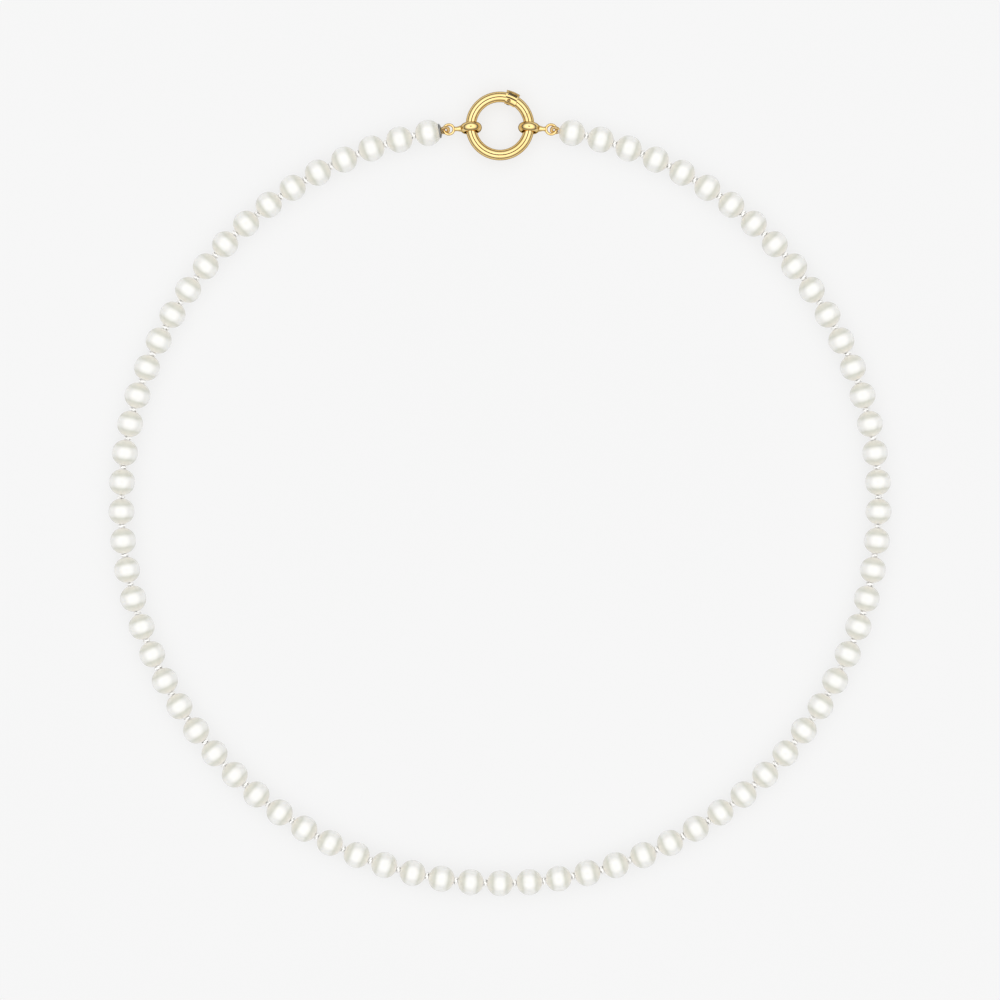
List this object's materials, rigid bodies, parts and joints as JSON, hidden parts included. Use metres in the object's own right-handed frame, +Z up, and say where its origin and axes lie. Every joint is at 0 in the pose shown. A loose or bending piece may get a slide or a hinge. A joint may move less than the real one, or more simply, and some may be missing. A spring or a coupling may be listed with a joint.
{
  "type": "pearl necklace",
  "caption": "Knotted single-strand pearl necklace laid in a ring, with a sprung round clasp ring held by two bails.",
  "frame": {"origin": "centre of the strand's circle, on the surface that the pearls rest on", "axes": "+Z up from that surface, +Y from the centre to the clasp, +X to the right seen from above"},
  "size_m": [0.1482, 0.1525, 0.005],
  "materials": {
    "pearl": "nacre, satin gloss",
    "silk": "twisted silk",
    "gimp": "fine coiled wire, gold plated",
    "gold": "polished, gold plated",
    "cap": "satin grey",
    "spring": "spring steel"
  },
  "bodies": {
    "strand_middle": {"pearl_bottom": "pearl", "silk_thread": "silk"},
    "strand_left_1": {"pearls_left_01": "pearl", "pearls_left_02": "pearl", "pearls_left_03": "pearl"},
    "strand_left_2": {"pearls_left_04": "pearl", "pearls_left_05": "pearl", "pearls_left_06": "pearl"},
    "strand_left_3": {"pearls_left_07": "pearl", "pearls_left_08": "pearl", "pearls_left_09": "pearl"},
    "strand_left_4": {"pearls_left_10": "pearl", "pearls_left_11": "pearl", "pearls_left_12": "pearl"},
    "strand_left_5": {"pearls_left_13": "pearl", "pearls_left_14": "pearl", "pearls_left_15": "pearl", "pearls_left_16": "pearl"},
    "strand_left_6": {"pearls_left_17": "pearl", "pearls_left_18": "pearl", "pearls_left_19": "pearl", "gimp_left": "gimp", "bead_cap_left": "cap"},
    "strand_right_1": {"pearls_right_01": "pearl", "pearls_right_02": "pearl", "pearls_right_03": "pearl"},
    "strand_right_2": {"pearls_right_04": "pearl", "pearls_right_05": "pearl", "pearls_right_06": "pearl"},
    "strand_right_3": {"pearls_right_07": "pearl", "pearls_right_08": "pearl", "pearls_right_09": "pearl"},
    "strand_right_4": {"pearls_right_10": "pearl", "pearls_right_11": "pearl", "pearls_right_12": "pearl"},
    "strand_right_5": {"pearls_right_13": "pearl", "pearls_right_14": "pearl", "pearls_right_15": "pearl", "pearls_right_16": "pearl"},
    "strand_right_6": {"pearls_right_17": "pearl", "pearls_right_18": "pearl", "pearls_right_19": "pearl", "gimp_right": "gimp"},
    "bail_left": {"bail_left": "gold", "eyelet_left": "gold"},
    "bail_right": {"bail_right": "gold", "eyelet_right": "gold"},
    "clasp_ring": {"clasp_ring": "gold", "gate_hinge_pin": "gold", "gate_leaf_spring": "spring"},
    "clasp_gate": {"clasp_gate": "gold"}
  },
  "joints": [
    {"name": "flex_left_1", "type": "hinge", "parent": "strand_middle", "child": "strand_left_1", "pos_m": [-0.00278, -0.07157, 0.0025], "axis": [0, 0, 1], "range_deg": [-9.6, 9.6], "deforming": ["silk_thread"]},
    {"name": "flex_left_2", "type": "hinge", "parent": "strand_left_1", "child": "strand_left_2", "pos_m": [-0.03463, -0.06269, 0.0025], "axis": [0, 0, 1], "range_deg": [-8.06, 8.06]},
    {"name": "flex_left_3", "type": "hinge", "parent": "strand_left_2", "child": "strand_left_3", "pos_m": [-0.0591, -0.04046, 0.0025], "axis": [0, 0, 1], "range_deg": [-4.62, 4.62]},
    {"name": "flex_left_4", "type": "hinge", "parent": "strand_left_3", "child": "strand_left_4", "pos_m": [-0.07097, -0.0096, 0.0025], "axis": [0, 0, 1], "range_deg": [-17.39, 17.39]},
    {"name": "flex_left_5", "type": "hinge", "parent": "strand_left_4", "child": "strand_left_5", "pos_m": [-0.06772, 0.0233, 0.0025], "axis": [0, 0, 1], "range_deg": [-13.38, 13.38]},
    {"name": "flex_left_6", "type": "hinge", "parent": "strand_left_5", "child": "strand_left_6", "pos_m": [-0.04151, 0.05836, 0.0025], "axis": [0, 0, 1], "range_deg": [-4.61, 4.61]},
    {"name": "eyelet_left_turn", "type": "hinge", "parent": "strand_left_6", "child": "bail_left", "pos_m": [-0.00968, 0.07096, 0.0025], "axis": [0, 0, 1], "range_deg": [-12.84, 12.84]},
    {"name": "flex_right_1", "type": "hinge", "parent": "strand_middle", "child": "strand_right_1", "pos_m": [0.00278, -0.07157, 0.0025], "axis": [0, 0, 1], "range_deg": [-9.99, 9.99]},
    {"name": "flex_right_2", "type": "hinge", "parent": "strand_right_1", "child": "strand_right_2", "pos_m": [0.03463, -0.06269, 0.0025], "axis": [0, 0, 1], "range_deg": [-8.06, 8.06]},
    {"name": "flex_right_3", "type": "hinge", "parent": "strand_right_2", "child": "strand_right_3", "pos_m": [0.0591, -0.04046, 0.0025], "axis": [0, 0, 1], "range_deg": [-4.62, 4.62]},
    {"name": "flex_right_4", "type": "hinge", "parent": "strand_right_3", "child": "strand_right_4", "pos_m": [0.07097, -0.0096, 0.0025], "axis": [0, 0, 1], "range_deg": [-17.39, 17.39]},
    {"name": "flex_right_5", "type": "hinge", "parent": "strand_right_4", "child": "strand_right_5", "pos_m": [0.06772, 0.0233, 0.0025], "axis": [0, 0, 1], "range_deg": [-13.38, 13.38]},
    {"name": "flex_right_6", "type": "hinge", "parent": "strand_right_5", "child": "strand_right_6", "pos_m": [0.04151, 0.05836, 0.0025], "axis": [0, 0, 1], "range_deg": [-4.61, 4.61]},
    {"name": "eyelet_right_turn", "type": "hinge", "parent": "strand_right_6", "child": "bail_right", "pos_m": [0.00968, 0.07096, 0.0025], "axis": [0, 0, 1], "range_deg": [-12.84, 12.84]},
    {"name": "ring_spin", "type": "hinge", "parent": "bail_left", "child": "clasp_ring", "pos_m": [0, 0.07162, 0.0025], "axis": [0, 0, 1], "range_deg": [0, 75]},
    {"name": "gate_swing", "type": "hinge", "parent": "clasp_ring", "child": "clasp_gate", "pos_m": [0.00167, 0.07633, 0.0025], "axis": [0, 0, -1], "range_deg": [0, 38], "stiffness_Nm_per_rad": 0.002, "springref_deg": -22.92, "deforming": ["gate_leaf_spring"]}
  ],
  "couplings": [
    {"joint": "flex_left_2", "follows": "flex_left_1", "ratio": 0.80463},
    {"joint": "flex_left_3", "follows": "flex_left_1", "ratio": -0.45678},
    {"joint": "flex_left_4", "follows": "flex_left_1", "ratio": -1.7489},
    {"joint": "flex_left_5", "follows": "flex_left_1", "ratio": -1.3434},
    {"joint": "flex_left_6", "follows": "flex_left_1", "ratio": 0.45626},
    {"joint": "eyelet_left_turn", "follows": "flex_left_1", "ratio": 1.2882},
    {"joint": "flex_right_1", "follows": "flex_left_1", "ratio": -1},
    {"joint": "flex_right_2", "follows": "flex_left_1", "ratio": -0.80463},
    {"joint": "flex_right_3", "follows": "flex_left_1", "ratio": 0.45678},
    {"joint": "flex_right_4", "follows": "flex_left_1", "ratio": 1.7489},
    {"joint": "flex_right_5", "follows": "flex_left_1", "ratio": 1.3434},
    {"joint": "flex_right_6", "follows": "flex_left_1", "ratio": -0.45626},
    {"joint": "eyelet_right_turn", "follows": "flex_left_1", "ratio": -1.2882}
  ]
}
